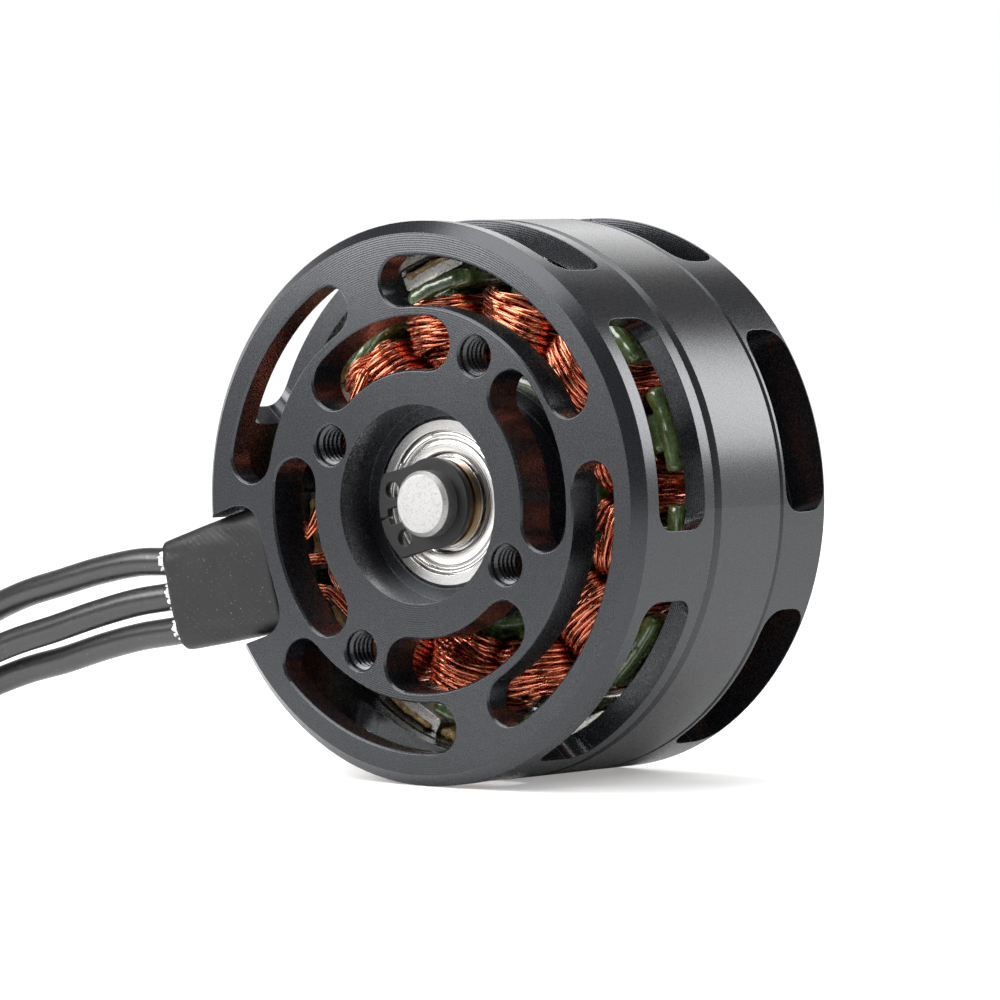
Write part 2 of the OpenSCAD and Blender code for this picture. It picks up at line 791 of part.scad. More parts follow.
module end_bell() {
    color("#26282b") upright() difference() {
        end_bell_with_windows();
        for (i = [0:bell_window_count - 1])
            plate_opening(rotor_turn + bell_window_turn * i, plate_hole_angle, plate_front - over,
                motor_l + over, plate_hole_r, hub_d / 2, motor_r - plate_band);
        for (turn = [45:90:315])
            placed(rotor_turn + turn, prop_circle_d / 2)
                ring(0, prop_hole_d / 2, plate_front - over, motor_l + over);
    }
}

module end_bell_with_windows() {
    difference() {
        end_bell_blank();
        for (i = [0:bell_window_count - 1])
            wall_window(rotor_turn + bell_window_turn * i, bell_window_angle, bell_front + bell_rim,
                motor_l - bell_rim, bell_window_r, motor_r - plate_rim - window_step, motor_r);
    }
}

// The bell as turned, with its spigot and the boss on the rear bearing
module end_bell_blank() {
    lip_back = bell_front + bell_rim - window_step;
    spigot_r = ring_inner_r - 2 * seat_gap;
    turned([
        [shaft_r + seat_gap, motor_l], [motor_r - bell_chamfer, motor_l],
        [motor_r, motor_l - bell_chamfer], [motor_r, bell_front + joint_chamfer],
        [motor_r - joint_chamfer, bell_front], [spigot_r, bell_front], [spigot_r, spigot_front],
        [spigot_r - spigot_w, spigot_front], [spigot_r - spigot_w, lip_back],
        [ring_inner_r, lip_back], [ring_inner_r, plate_front], [boss_d / 2, plate_front],
        [boss_d / 2, rear_bearing_back + seat_gap],
        [shaft_r + seat_gap, rear_bearing_back + seat_gap]
    ]);
}

// Where a lead's tube starts, and the way back from there into the motor
function lead_start(lead) = lead_routes[lead][0];
function lead_inwards(lead) = unit(lead_routes[lead][0] - lead_routes[lead][1]);

// Rod between two points
module rod(from, to, r) {
    way = to - from;
    translate(from)
        rotate([0, acos(way[2] / norm(way)), atan2(way[1], way[0])])
            cylinder(r = r, h = norm(way));
}

module solder_joints() {
    color("#b9bcc0") for (lead = [0:2])
        rod(lead_start(lead), lead_start(lead) + solder_l * lead_inwards(lead), solder_d / 2);
}

// A phase tail leaves a coil's front, turns to the lead outlet and ends at its solder joint
module phase_tails() {
    mouth = sleeve_depth - sleeve_h / 2 + sleeve_wall + coil_wire_d;
    color("#a84c18") for (lead = [0:2]) {
        angle = tooth_angle(tail_teeth[lead]);
        side = (lead - 1) * tail_pitch;
        end = lead_start(lead) + (solder_l + seat_gap) * lead_inwards(lead);
        round_tube([
            in_motor(angle, tail_start_r, coil_front - seat_gap),
            in_motor(angle, tail_start_r, coil_front - tail_straight),
            in_motor(angle, tail_start_r, coil_front - 1.6 * tail_straight),
            in_sleeve(-2 * coil_wire_d, side, pad_t + 1.8 * coil_wire_d),
            in_sleeve(-1.3 * coil_wire_d, side, pad_t + coil_wire_d),
            in_sleeve(-0.6 * coil_wire_d, side, mouth + 1.2 * coil_wire_d),
            in_sleeve(0.6 * coil_wire_d, side, mouth + 0.9 * coil_wire_d),
            end + tail_straight * lead_inwards(lead),
            end
        ], coil_r, tail_sides, [0.3, 0, 1]);
    }
}

// Flat-sided round bar, wide across the sleeve
module sleeve_bar(width, height, length) {
    half = (width - height) / 2;
    translate([0, -half, -height / 2]) cube([length, 2 * half, height]);
    for (side = [-half, half])
        translate([0, side, 0]) rotate([0, 90, 0]) cylinder(r = height / 2, h = length);
}

module lead_sleeve() {
    color("#141516") upright()
        placed(lead_angle, notch_bottom + sleeve_gap)
            translate([0, 0, -sleeve_depth])
                rotate([0, 0, sleeve_turn - lead_angle])
                    difference() {
                        sleeve_bar(sleeve_w, sleeve_h, sleeve_l);
                        translate([-over, 0, 0])
                            sleeve_bar(sleeve_w - 2 * sleeve_wall, sleeve_h - 2 * sleeve_wall,
                                sleeve_l + 2 * over);
                    }
}

module lead(i) {
    color("#1a1b1d") round_tube(lead_routes[i], lead_d / 2, lead_sides, [0, 0, 1]);
}

module upper_lead() {
    lead(0);
}

module middle_lead() {
    lead(1);
}

module lower_lead() {
    lead(2);
}

// Bullet plug: a solder cup, a stop rim and a round-nosed pin
module plug(i) {
    pin_end = plug_cup_l + plug_pin_l;
    pin_r = plug_pin_d / 2;
    color("#c9a24a")
        translate(lead_routes[i][len(lead_routes[i]) - 1])
            rotate([0, -90, 0])
                rotate_extrude() polygon([
                    [0, 0], [plug_cup_d / 2, 0], [plug_cup_d / 2, plug_rim_l],
                    [plug_cup_d / 2 - plug_rim, plug_rim_l],
                    [plug_cup_d / 2 - plug_rim, plug_cup_l - plug_rim_l],
                    [plug_cup_d / 2, plug_cup_l - plug_rim_l], [plug_cup_d / 2, plug_cup_l],
                    [pin_r, plug_cup_l], [pin_r, pin_end - plug_nose_l],
                    [pin_r * plug_nose_share, pin_end], [0, pin_end]
                ]);
}

module upper_plug() {
    plug(0);
}

module middle_plug() {
    plug(1);
}

module lower_plug() {
    plug(2);
}

base_cup();
front_outer_race();
front_inner_race();
front_shields();
front_cage();
front_balls();
rear_outer_race();
rear_inner_race();
rear_shields();
rear_cage();
rear_balls();
shaft();
circlip();
outer_washer();
inner_washer();
stator_core();
stator_insulation();
winding_a();
winding_b();
winding_c();
link_wires();
flux_ring();
magnets();
end_bell();
phase_tails();
solder_joints();
lead_sleeve();
upper_lead();
middle_lead();
lower_lead();
upper_plug();
middle_plug();
lower_plug();
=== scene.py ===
"""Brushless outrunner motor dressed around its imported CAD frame, in millimetres but for the leads' routes."""

import json
import math
import random

import bmesh
import bpy
import numpy as np
from mathutils import Matrix, Vector


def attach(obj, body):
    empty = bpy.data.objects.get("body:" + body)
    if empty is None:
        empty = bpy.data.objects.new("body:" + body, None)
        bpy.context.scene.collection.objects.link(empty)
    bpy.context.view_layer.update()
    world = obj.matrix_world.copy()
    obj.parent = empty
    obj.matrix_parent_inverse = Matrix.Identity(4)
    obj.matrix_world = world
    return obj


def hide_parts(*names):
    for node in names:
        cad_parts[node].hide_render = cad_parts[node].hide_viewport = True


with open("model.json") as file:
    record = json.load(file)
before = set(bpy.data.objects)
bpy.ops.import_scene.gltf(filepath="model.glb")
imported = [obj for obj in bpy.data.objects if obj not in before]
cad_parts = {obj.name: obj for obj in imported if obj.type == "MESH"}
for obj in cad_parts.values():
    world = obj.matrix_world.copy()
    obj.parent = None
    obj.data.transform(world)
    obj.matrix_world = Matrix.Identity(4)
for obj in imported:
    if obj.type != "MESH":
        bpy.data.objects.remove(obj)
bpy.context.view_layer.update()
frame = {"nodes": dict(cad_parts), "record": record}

MM = 0.001
TURN = 2 * math.pi

# Sizes that follow the part's source
MOTOR_R = 21.2
LEAD_ANGLE = 198.8
SLEEVE_ANGLE = 194.8
SLEEVE_START_R = 16.2
SLEEVE_DEPTH = 2.6
SLEEVE_LENGTH = 10.6
FIRST_TOOTH = 19.6
TOOTH_COUNT = 12
COIL_MIDDLE = 12.7
MAGNET_TURN = 112.12
MAGNET_COUNT = 14
MAGNET_FRONT = 10.45
MAGNET_BACK = 16.45
GLUE_FREE_GAPS = (0, 2, 3, 9, 13)
RING_INNER_R = 19.4
PROP_TURN = 17.92
LEAD_R = 1.1
TAIL_R = 14.36
BEARING_FRONT = 3.45
BEARING_W = 4
CLIP_FRONT, CLIP_BACK = 1.8, 2.4
CLIP_TURN = 195.8


# Points of the motor

def in_motor(angle, r, depth):
    a = math.radians(angle)
    return np.array([r * math.cos(a), depth, r * math.sin(a)])


def in_sleeve(along, side, depth):
    return (in_motor(LEAD_ANGLE, SLEEVE_START_R, depth) + in_motor(SLEEVE_ANGLE, along, 0)
            + in_motor(SLEEVE_ANGLE + 90, side, 0))


def tooth_angle(tooth):
    return FIRST_TOOTH + 360 / TOOTH_COUNT * tooth


# Camera, at the photograph's angle

CAMERA_AZIMUTH = math.radians(39.02)
CAMERA_ELEVATION = math.radians(2.90)
CAMERA_DISTANCE = 519.5
CAMERA_SIDE, CAMERA_LIFT = 6.239, 0.323
LENS = 250.05


def place_camera():
    a, e = CAMERA_AZIMUTH, CAMERA_ELEVATION
    back = Vector((math.sin(a) * math.cos(e), -math.cos(a) * math.cos(e), math.sin(e)))
    right = Vector((math.cos(a), math.sin(a), 0))
    up = back.cross(right)
    data = bpy.data.cameras.new("camera")
    data.lens, data.sensor_width = LENS, 36
    data.clip_start, data.clip_end = 0.01, 50
    camera = bpy.data.objects.new("camera", data)
    bpy.context.scene.collection.objects.link(camera)
    turn = Matrix((right, up, back)).transposed().to_4x4()
    place = (back * CAMERA_DISTANCE + right * CAMERA_SIDE + up * CAMERA_LIFT) * MM
    camera.matrix_world = Matrix.Translation(place) @ turn
    bpy.context.scene.camera = camera


place_camera()


# Shader values and finishes

class Value:
    """One shader value. Arithmetic on it adds Math nodes."""

    def __init__(self, finish, socket):
        self.finish = finish
        self.socket = socket

    def _math(self, operation, *terms):
        return self.finish.node("ShaderNodeMath", {"operation": operation}, dict(enumerate(terms)))

    def __add__(self, other):
        return self._math("ADD", self, other)

    def __radd__(self, other):
        return self._math("ADD", other, self)

    def __sub__(self, other):
        return self._math("SUBTRACT", self, other)

    def __rsub__(self, other):
        return self._math("SUBTRACT", other, self)

    def __mul__(self, other):
        return self._math("MULTIPLY", self, other)

    def __rmul__(self, other):
        return self._math("MULTIPLY", other, self)

    def __pow__(self, other):
        return self._math("POWER", self, other)


class Finish:
    """A procedural material. The keywords are the shader's plain settings."""

    def __init__(self, name, **settings):
        self.material = bpy.data.materials.new(name)
        self.material.use_nodes = True
        self.tree = self.material.node_tree
        self.shader = self.tree.nodes["Principled BSDF"]
        for socket, value in settings.items():
            self.feed(self.shader.inputs[socket.replace("_", " ")], value)

    def node(self, kind, settings=None, inputs=None, output=0):
        made = self.tree.nodes.new(kind)
        for name, value in (settings or {}).items():
            setattr(made, name, value)
        for name, value in (inputs or {}).items():
            self.feed(made.inputs[name], value)
        return Value(self, made.outputs[output])

    def feed(self, socket, value):
        if isinstance(value, Value):
            self.tree.links.new(value.socket, socket)
        elif socket.type == "RGBA":
            socket.default_value = (*value[:3], 1)
        else:
            socket.default_value = value

    def shade(self, **values):
        for socket, value in values.items():
            self.feed(self.shader.inputs[socket.replace("_", " ")], value)
        return self

    def place(self):
        return self.node("ShaderNodeTexCoord", output="Object")

    def facing(self):
        return self.parts(self.node("ShaderNodeTexCoord", output="Normal"))

    def parts(self, vector):
        split = self.node("ShaderNodeSeparateXYZ", inputs={0: vector}).socket.node
        return [Value(self, socket) for socket in split.outputs]

    def noise(self, grain, vector=None, detail=2, roughness=0.5):
        """Soft noise from 0 to 1 whose lumps are about grain millimetres across."""
        vector = vector or self.place()
        return self.node("ShaderNodeTexNoise", inputs={
            "Vector": vector, "Scale": 1 / (grain * MM), "Detail": detail, "Roughness": roughness})

    def spread(self, value, low, high, start=0.0, end=1.0):
        """The value stretched from low..high to start..end, and held there."""
        return self.node("ShaderNodeMapRange", {"clamp": True}, {
            "Value": value, "From Min": low, "From Max": high, "To Min": start, "To Max": end})

    def mix(self, share, first, second):
        return self.node("ShaderNodeMix", {"data_type": "RGBA"}, {0: share, 6: first, 7: second}, 2)

    def axis_distance(self):
        x, _, z = self.parts(self.place())
        return (x * x + z * z) ** 0.5

    def waves(self, value, pitch):
        """Even ripples, one to each pitch in millimetres."""
        return self.node("ShaderNodeMath", {"operation": "SINE"}, {0: value * (TURN / (pitch * MM))})

    def bump(self, height, depth, normal=None):
        """Normal of a surface whose height runs over depth millimetres."""
        inputs = {"Height": height, "Distance": depth * MM, "Strength": 1.0}
        if normal:
            inputs["Normal"] = normal
        return self.node("ShaderNodeBump", inputs=inputs)

    def soft_edges(self, radius):
        return self.node("ShaderNodeBevel", {"samples": 6}, {"Radius": radius * MM})


def anodised(name, shade, roughness, edge):
    """Black anodised aluminium: a fine satin grain, and turning marks on the faces across the axis."""
    f = Finish(name, IOR=1.62, Specular_Tint=(0.92, 0.95, 1.0))
    grain = f.noise(0.12, detail=3)
    cloud = f.noise(6)
    _, across, _ = f.facing()
    on_face = f.spread(across * across, 0.9, 0.98)
    marks = f.waves(f.axis_distance(), 0.17) * f.noise(9) * on_face
    tone = f.spread(grain, 0.3, 0.7, 0.35, 0.65) + 0.25 * (cloud - 0.5)
    darker = tuple(0.72 * c for c in shade)
    lighter = tuple(1.3 * c for c in shade)
    return f.shade(
        Base_Color=f.mix(tone, darker, lighter),
        Roughness=f.spread(grain, 0.3, 0.7, roughness - 0.04, roughness + 0.05),
        Normal=f.bump(0.42 * grain + 0.5 * marks, 0.006, f.soft_edges(edge)))


def ground_black(name):
    """Black steel ring, ground round and round."""
    f = Finish(name, IOR=1.62, Specular_Tint=(0.94, 0.96, 1.0))
    _, along, _ = f.parts(f.place())
    lines = f.noise(0.05, f.node("ShaderNodeCombineXYZ", inputs={1: along}), detail=2)
    grain = f.noise(0.14)
    return f.shade(
        Base_Color=f.mix(grain, (0.008, 0.008, 0.009), (0.013, 0.013, 0.014)),
        Roughness=f.spread(grain, 0.3, 0.7, 0.24, 0.29),
        Normal=f.bump(0.6 * lines + 0.3 * grain, 0.004, f.soft_edges(0.08)))


def steel(name, shade, roughness, ring_pitch=0.06, depth=0.004, pits=0.0):
    """Bare steel with fine rings of turning or polishing, and pits where it is ground."""
    f = Finish(name, Metallic=1.0)
    distance = f.axis_distance()
    rings = f.noise(ring_pitch, f.node("ShaderNodeCombineXYZ", inputs={0: distance}), detail=2)
    cloud = f.noise(1.5)
    speck = f.spread(f.noise(0.16, detail=4, roughness=0.65), 0.38, 0.52)
    darker = tuple(0.45 * c for c in shade)
    colour = f.mix(f.spread(cloud, 0.3, 0.7, 0, 0.18), shade, tuple(0.8 * c for c in shade))
    if pits:
        colour = f.mix(pits * (1 - speck), colour, darker)
    return f.shade(
        Base_Color=colour,
        Roughness=f.spread(rings, 0.3, 0.7, roughness - 0.05, roughness + 0.07),
        Normal=f.bump(rings + pits * 3 * speck, depth, f.soft_edges(0.05)))


def black_oxide(name):
    f = Finish(name, IOR=1.36)
    grain = f.noise(0.2, detail=4)
    return f.shade(
        Base_Color=f.mix(grain, (0.004, 0.004, 0.004), (0.010, 0.010, 0.010)),
        Roughness=f.spread(grain, 0.3, 0.7, 0.34, 0.48),
        Normal=f.bump(grain, 0.008, f.soft_edges(0.06)))


def enamelled_copper(name):
    """Copper wire under clear orange-red enamel."""
    f = Finish(name, Metallic=1.0, Coat_Roughness=0.08, Coat_IOR=1.6, Coat_Tint=(1.0, 0.90, 0.84))
    patch = f.noise(1.4, detail=2)
    fleck = f.noise(0.25, detail=3)
    colour = f.mix(f.spread(patch, 0.3, 0.7), (0.56, 0.125, 0.045), (0.80, 0.25, 0.115))
    return f.shade(
        Base_Color=colour, Roughness=f.spread(fleck, 0.3, 0.7, 0.17, 0.30),
        Coat_Weight=0.95, Normal=f.bump(fleck, 0.006))


def green_epoxy(name):
    """Green powder epoxy, glossy and a little lumpy, with dust in it."""
    f = Finish(name, IOR=1.52, Coat_Weight=0.8, Coat_Roughness=0.07)
    lumps = f.noise(1.1, detail=3)
    orange_peel = f.noise(0.35, detail=2)
    dust = f.spread(f.noise(0.11, detail=1), 0.71, 0.76)
    colour = f.mix(f.spread(lumps, 0.3, 0.7), (0.022, 0.044, 0.009), (0.066, 0.108, 0.026))
    return f.shade(
        Base_Color=f.mix(0.7 * dust, colour, (0.25, 0.28, 0.20)),
        Roughness=f.spread(orange_peel, 0.3, 0.7, 0.20, 0.34),
        Normal=f.bump(0.7 * lumps + 0.3 * orange_peel, 0.07))


def nickel(name):
    f = Finish(name, Metallic=1.0)
    grain = f.noise(0.13, detail=4, roughness=0.6)
    speck = f.spread(grain, 0.36, 0.46)
    cloud = f.noise(0.9)
    colour = f.mix(cloud, (0.72, 0.70, 0.66), (0.86, 0.84, 0.79))
    return f.shade(
        Base_Color=f.mix(0.75 * (1 - speck), colour, (0.20, 0.18, 0.15)),
        Roughness=f.spread(grain, 0.3, 0.7, 0.40, 0.28),
        Normal=f.bump(speck, 0.012, f.soft_edges(0.12)))


def amber_glue(name):
    f = Finish(name, IOR=1.5, Coat_Weight=0.4, Coat_Roughness=0.15)
    lumps = f.noise(0.5, detail=4)
    crumbs = f.noise(0.14, detail=2)
    colour = f.mix(f.spread(lumps, 0.32, 0.66), (0.16, 0.085, 0.022), (0.52, 0.36, 0.13))
    return f.shade(
        Base_Color=f.mix(f.spread(crumbs, 0.62, 0.7), colour, (0.75, 0.68, 0.48)),
        Roughness=f.spread(crumbs, 0.3, 0.7, 0.25, 0.55), Normal=f.bump(lumps + 0.5 * crumbs, 0.08))


def silicone(name):
    f = Finish(name, IOR=1.55)
    grain = f.noise(0.25, detail=3)
    cloud = f.noise(5)
    dust = f.spread(f.noise(0.16, detail=1), 0.73, 0.77)
    colour = f.mix(cloud, (0.009, 0.009, 0.010), (0.016, 0.016, 0.017))
    return f.shade(
        Base_Color=f.mix(0.5 * dust, colour, (0.20, 0.20, 0.20)),
        Roughness=f.spread(grain, 0.3, 0.7, 0.27, 0.37), Normal=f.bump(grain, 0.010))


def heat_shrink(name):
    """Shrunk sleeve: matte black, with fine slanted ribs and a little dust."""
    f = Finish(name, IOR=1.36)
    x, y, z = f.parts(f.place())
    ribs = f.waves(x * 0.52 + z * 0.85 + y * 0.25 + 0.0004 * f.noise(3), 0.42)
    grain = f.noise(0.18, detail=3)
    dust = f.spread(f.noise(0.14, detail=1), 0.72, 0.77)
    colour = f.mix(f.noise(4), (0.006, 0.006, 0.007), (0.012, 0.012, 0.013))
    return f.shade(
        Base_Color=f.mix(0.6 * dust, colour, (0.22, 0.22, 0.23)),
        Roughness=f.spread(grain, 0.3, 0.7, 0.40, 0.52),
        Normal=f.bump(0.20 * ribs + 0.35 * grain, 0.012))


def sealant(name):
    f = Finish(name, IOR=1.45)
    crumbs = f.noise(0.2, detail=4)
    return f.shade(
        Base_Color=f.mix(f.spread(crumbs, 0.3, 0.7), (0.30, 0.31, 0.32), (0.62, 0.62, 0.61)),
        Roughness=f.spread(crumbs, 0.3, 0.7, 0.35, 0.6), Normal=f.bump(crumbs, 0.05))


def laminations(name):
    """Edges of thin steel sheets, stacked along the axis."""
    f = Finish(name, Metallic=0.8)
    _, along, _ = f.parts(f.place())
    sheets = f.waves(along, 0.2)
    grain = f.noise(0.3, detail=3)
    return f.shade(
        Base_Color=f.mix(grain, (0.16, 0.155, 0.15), (0.34, 0.33, 0.32)),
        Roughness=f.spread(grain, 0.3, 0.7, 0.35, 0.5), Normal=f.bump(0.5 * sheets + 0.3 * grain, 0.02))


FINISHES = {
    "anodised": anodised("black_anodised", (0.0042, 0.0044, 0.0058), 0.26, 0.09),
    "flux_steel": ground_black("black_ground_steel"),
    "bearing_steel": steel("bearing_race_steel", (0.70, 0.69, 0.68), 0.22),
    "shield_steel": steel("bearing_shield_steel", (0.76, 0.74, 0.72), 0.24, 0.09),
    "ball_steel": steel("polished_ball_steel", (0.80, 0.80, 0.80), 0.10),
    "cage_brass": steel("pressed_cage_brass", (0.66, 0.48, 0.22), 0.34),
    "shaft_steel": steel("ground_shaft_steel", (0.40, 0.395, 0.39), 0.48, 0.12, 0.008, 0.4),
    "spring_steel": black_oxide("black_oxide_spring_steel"),
    "brass": steel("spacer_brass", (0.20, 0.135, 0.070), 0.30, 0.08),
    "core_steel": laminations("core_laminations"),
    "green_epoxy": green_epoxy("green_epoxy_coat"),
    "enamelled_copper": enamelled_copper("enamelled_copper_wire"),
    "nickel": nickel("nickel_plate"),
    "solder": steel("bright_solder", (0.62, 0.62, 0.63), 0.33, 0.3, 0.02),
    "heat_shrink": heat_shrink("black_heat_shrink"),
    "silicone": silicone("black_silicone"),
    "gold_plate": steel("gold_plate", (0.86, 0.64, 0.28), 0.22),
}
GLUE = amber_glue("amber_magnet_glue")
SEALANT = sealant("white_sealant")


def dress(name, slot):
    """Give a CAD node its finish."""
    materials = frame["nodes"][name].data.materials
    materials.clear()
    materials.append(FINISHES[slot].material)


for entry in frame["record"]["subparts"]:
    dress(entry["node"], entry["material_slot"])


# Mesh making

def made(name, points, faces, body, slot, replaced=(), finish=None):
    """A smooth piece from points in millimetres, riding on a CAD body."""
    mesh = bpy.data.meshes.new(name)
    mesh.from_pydata([tuple(p) for p in np.asarray(points, float) * MM], [], faces)
    mesh.validate()
    form = bmesh.new()
    form.from_mesh(mesh)
    bmesh.ops.recalc_face_normals(form, faces=form.faces)
    form.to_mesh(mesh)
    form.free()
    mesh.shade_smooth()
    piece = bpy.data.objects.new(name, mesh)
    bpy.context.scene.collection.objects.link(piece)
    mesh.materials.append((finish or FINISHES[slot]).material)
    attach(piece, body)
    not finish
    if replaced:
        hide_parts(*replaced)
    return piece


class Shell:
    """Points and faces gathered from several forms."""

    def __init__(self):
        self.points = []
        self.faces = []

    def add(self, points, faces):
        start = len(self.points)
        self.points.extend(points)
        self.faces.extend([[start + i for i in face] for face in faces])


def unit(v):
    return v / np.linalg.norm(v, axis=-1, keepdims=True)


def smoothed(points, step):
    """A Catmull-Rom line through the points, with a point about every step millimetres."""
    p = np.asarray(points, float)
    p = np.vstack([2 * p[0] - p[1], p, 2 * p[-1] - p[-2]])
    line = []
    for a, b, c, d in zip(p, p[1:], p[2:], p[3:]):
        count = max(int(round(np.linalg.norm(c - b) / step)), 1)
        for t in np.arange(count) / count:
            line.append(0.5 * (2 * b + (c - a) * t + (2 * a - 5 * b + 4 * c - d) * t * t
                               + (3 * b - a - 3 * c + d) * t ** 3))
    return np.array(line + [p[-2]])


def frames(line, first):
    """Tangents and two side directions along a line, carried without twist."""
    tangents = unit(np.gradient(line, axis=0))
    sides = []
    side = np.asarray(first, float)
    for t in tangents:
        side = unit(side - np.dot(side, t) * t)
        sides.append(side)
    sides = np.array(sides)
    return tangents, sides, np.cross(tangents, sides)


def tube_of(rings, closed=False):
    """Faces over rings of equal count, capped at both ends unless closed."""
    count, around = len(rings), len(rings[0])
    faces = []
    for i in range(count if closed else count - 1):
        here, there = i * around, (i + 1) % count * around
        for j in range(around):
            k = (j + 1) % around
            faces.append([here + j, there + j, there + k, here + k])
    if not closed:
        faces.append(list(range(around)))
        faces.append([(count - 1) * around + around - 1 - j for j in range(around)])
    return np.concatenate(rings), faces


# Wire bundles

STRAND_R = 0.21
STRANDS = 6
BUNDLE_R = 0.40
STRAND_SIDES = 6
STRAND_WANDER = 0.05
TWIST_LENGTH = 19


def add_bundle(shell, line, across, over, draw, flat=(1.2, 0.8)):
    """Six strands laid round a line like a rope, pressed a little flat."""
    way = np.concatenate([[0], np.cumsum(np.linalg.norm(np.diff(line, axis=0), axis=1))])
    start = draw.uniform(0, TURN)
    drift = 0.5 * np.sin(way / 5.1 + draw.uniform(0, TURN))
    drift += 0.3 * np.sin(way / 2.3 + draw.uniform(0, TURN))
    angles = TURN * np.arange(STRAND_SIDES) / STRAND_SIDES
    for strand in range(STRANDS):
        wander = STRAND_WANDER * np.sin(way / draw.uniform(1.2, 2.6) + draw.uniform(0, TURN))
        turn = start + TURN * strand / STRANDS + TURN * way / TWIST_LENGTH + drift
        reach = (BUNDLE_R + wander)[:, None]
        centre = line + reach * (flat[0] * np.cos(turn)[:, None] * across
                                 + flat[1] * np.sin(turn)[:, None] * over)
        tangents = unit(np.gradient(centre, axis=0))
        side = unit(np.cross(tangents, across))
        lift = np.cross(side, tangents)
        rings = [p + STRAND_R * (np.cos(angles)[:, None] * s + np.sin(angles)[:, None] * n)
                 for p, s, n in zip(centre, side, lift)]
        shell.add(*tube_of(rings))


def racetrack(share, half_w, half_l, corner):
    """Points round a rectangle with round corners, from the middle of its front end; share is 0 to 1."""
    legs = [half_w - corner, math.pi / 2 * corner, 2 * (half_l - corner), math.pi / 2 * corner,
            2 * (half_w - corner), math.pi / 2 * corner, 2 * (half_l - corner), math.pi / 2 * corner,
            half_w - corner]
    s = share * sum(legs)
    corners = [(half_w - corner, corner - half_l, -90), (half_w - corner, half_l - corner, 0),
               (corner - half_w, half_l - corner, 90), (corner - half_w, corner - half_l, 180)]
    starts = [(0, -half_l, 1, 0), (half_w, corner - half_l, 0, 1), (half_w - corner, half_l, -1, 0),
              (-half_w, half_l - corner, 0, -1), (corner - half_w, -half_l, 1, 0)]
    for number, leg in enumerate(legs):
        if s > leg and number < len(legs) - 1:
            s -= leg
            continue
        if number % 2 == 0:
            x, y, dx, dy = starts[number // 2]
            return x + dx * s, y + dy * s
        x, y, first = corners[number // 2]
        a = math.radians(first) + s / corner
        return x + corner * math.cos(a), y + corner * math.sin(a)


# Each layer of a coil: turns, first and last distance from the axis, half width, half length, corner
COIL_LAYERS = [(5, 10.6, 15.55, 2.08, 3.98, 0.55), (4, 15.35, 11.9, 2.86, 4.86, 1.3)]
COIL_POINTS = 40
COIL_BULGE = 0.42
COIL_SLANT = 0.22


def coil_line(draw):
    """One coil's bundle line in its tooth's frame, as (distance from the axis, sideways, along the axis)."""
    line = []
    for layer, (turns, first, last, half_w, half_l, corner) in enumerate(COIL_LAYERS):
        phase = draw.uniform(0, TURN)
        for i in range(turns * COIL_POINTS):
            u = i / COIL_POINTS
            side, along = racetrack(u % 1, half_w, half_l, corner)
            end = 1 - (side / half_w) ** 2
            along += math.copysign(COIL_BULGE * layer * end, along)
            r = first + (last - first) * u / turns
            r += 0.10 * math.sin(TURN * u * 1.7 + phase)
            r += COIL_SLANT * side / half_w * (1 if along < 0 else -0.5)
            line.append((r, side, along + 0.06 * math.sin(3.1 * u + phase)))
    line = np.array(line)
    soft = line.copy()
    soft[1:-1] = 0.25 * line[:-2] + 0.5 * line[1:-1] + 0.25 * line[2:]
    return soft


def in_tooth(line, angle):
    a = math.radians(angle)
    r, side, along = line.T
    return np.stack([r * math.cos(a) - side * math.sin(a), COIL_MIDDLE + along,
                     r * math.sin(a) + side * math.cos(a)], axis=1)


def wind_phase(name, node, teeth, seed):
    draw = random.Random(seed)
    shell = Shell()
    for tooth in teeth:
        angle = tooth_angle(tooth)
        line = in_tooth(coil_line(draw), angle)
        radial = np.tile(in_motor(angle, 1, 0), (len(line), 1))
        tangents = unit(np.gradient(line, axis=0))
        across = unit(radial - (radial * tangents).sum(1, keepdims=True) * tangents)
        add_bundle(shell, line, across, np.cross(tangents, across), draw)
    return made(name, shell.points, shell.faces, "root", "enamelled_copper", [node])


PHASE_TEETH = {"a": [5, 6, 11, 0], "b": [7, 8, 1, 2], "c": [9, 10, 3, 4]}
for number, (phase, teeth) in enumerate(PHASE_TEETH.items()):
    wind_phase(f"coils_{phase}", f"winding_{phase}", teeth, 11 + number)

LINK_TEETH = (0, 8, 10)
LINK_FIRST_R, LINK_STEP = 11.8, 1.4
LINK_DEPTH = 17.75
LINK_SWEEP = 150


def link_wires():
    """Three bundles that run round behind the coils."""
    draw = random.Random(21)
    shell = Shell()
    for phase, tooth in enumerate(LINK_TEETH):
        r = LINK_FIRST_R + LINK_STEP * phase
        turn = np.linspace(tooth_angle(tooth), tooth_angle(tooth) + LINK_SWEEP, 110)
        line = np.array([in_motor(a, r + 0.12 * math.sin(a / 9), LINK_DEPTH + 0.08 * math.sin(a / 6))
                         for a in turn])
        _, across, over = frames(line, in_motor(turn[0], 1, 0))
        add_bundle(shell, line, across, over, draw, flat=(1.1, 0.62))
    return made("joining_wires", shell.points, shell.faces, "root", "enamelled_copper", ["link_wires"])


link_wires()


# Lead routes in metres, the same points as in the part's source

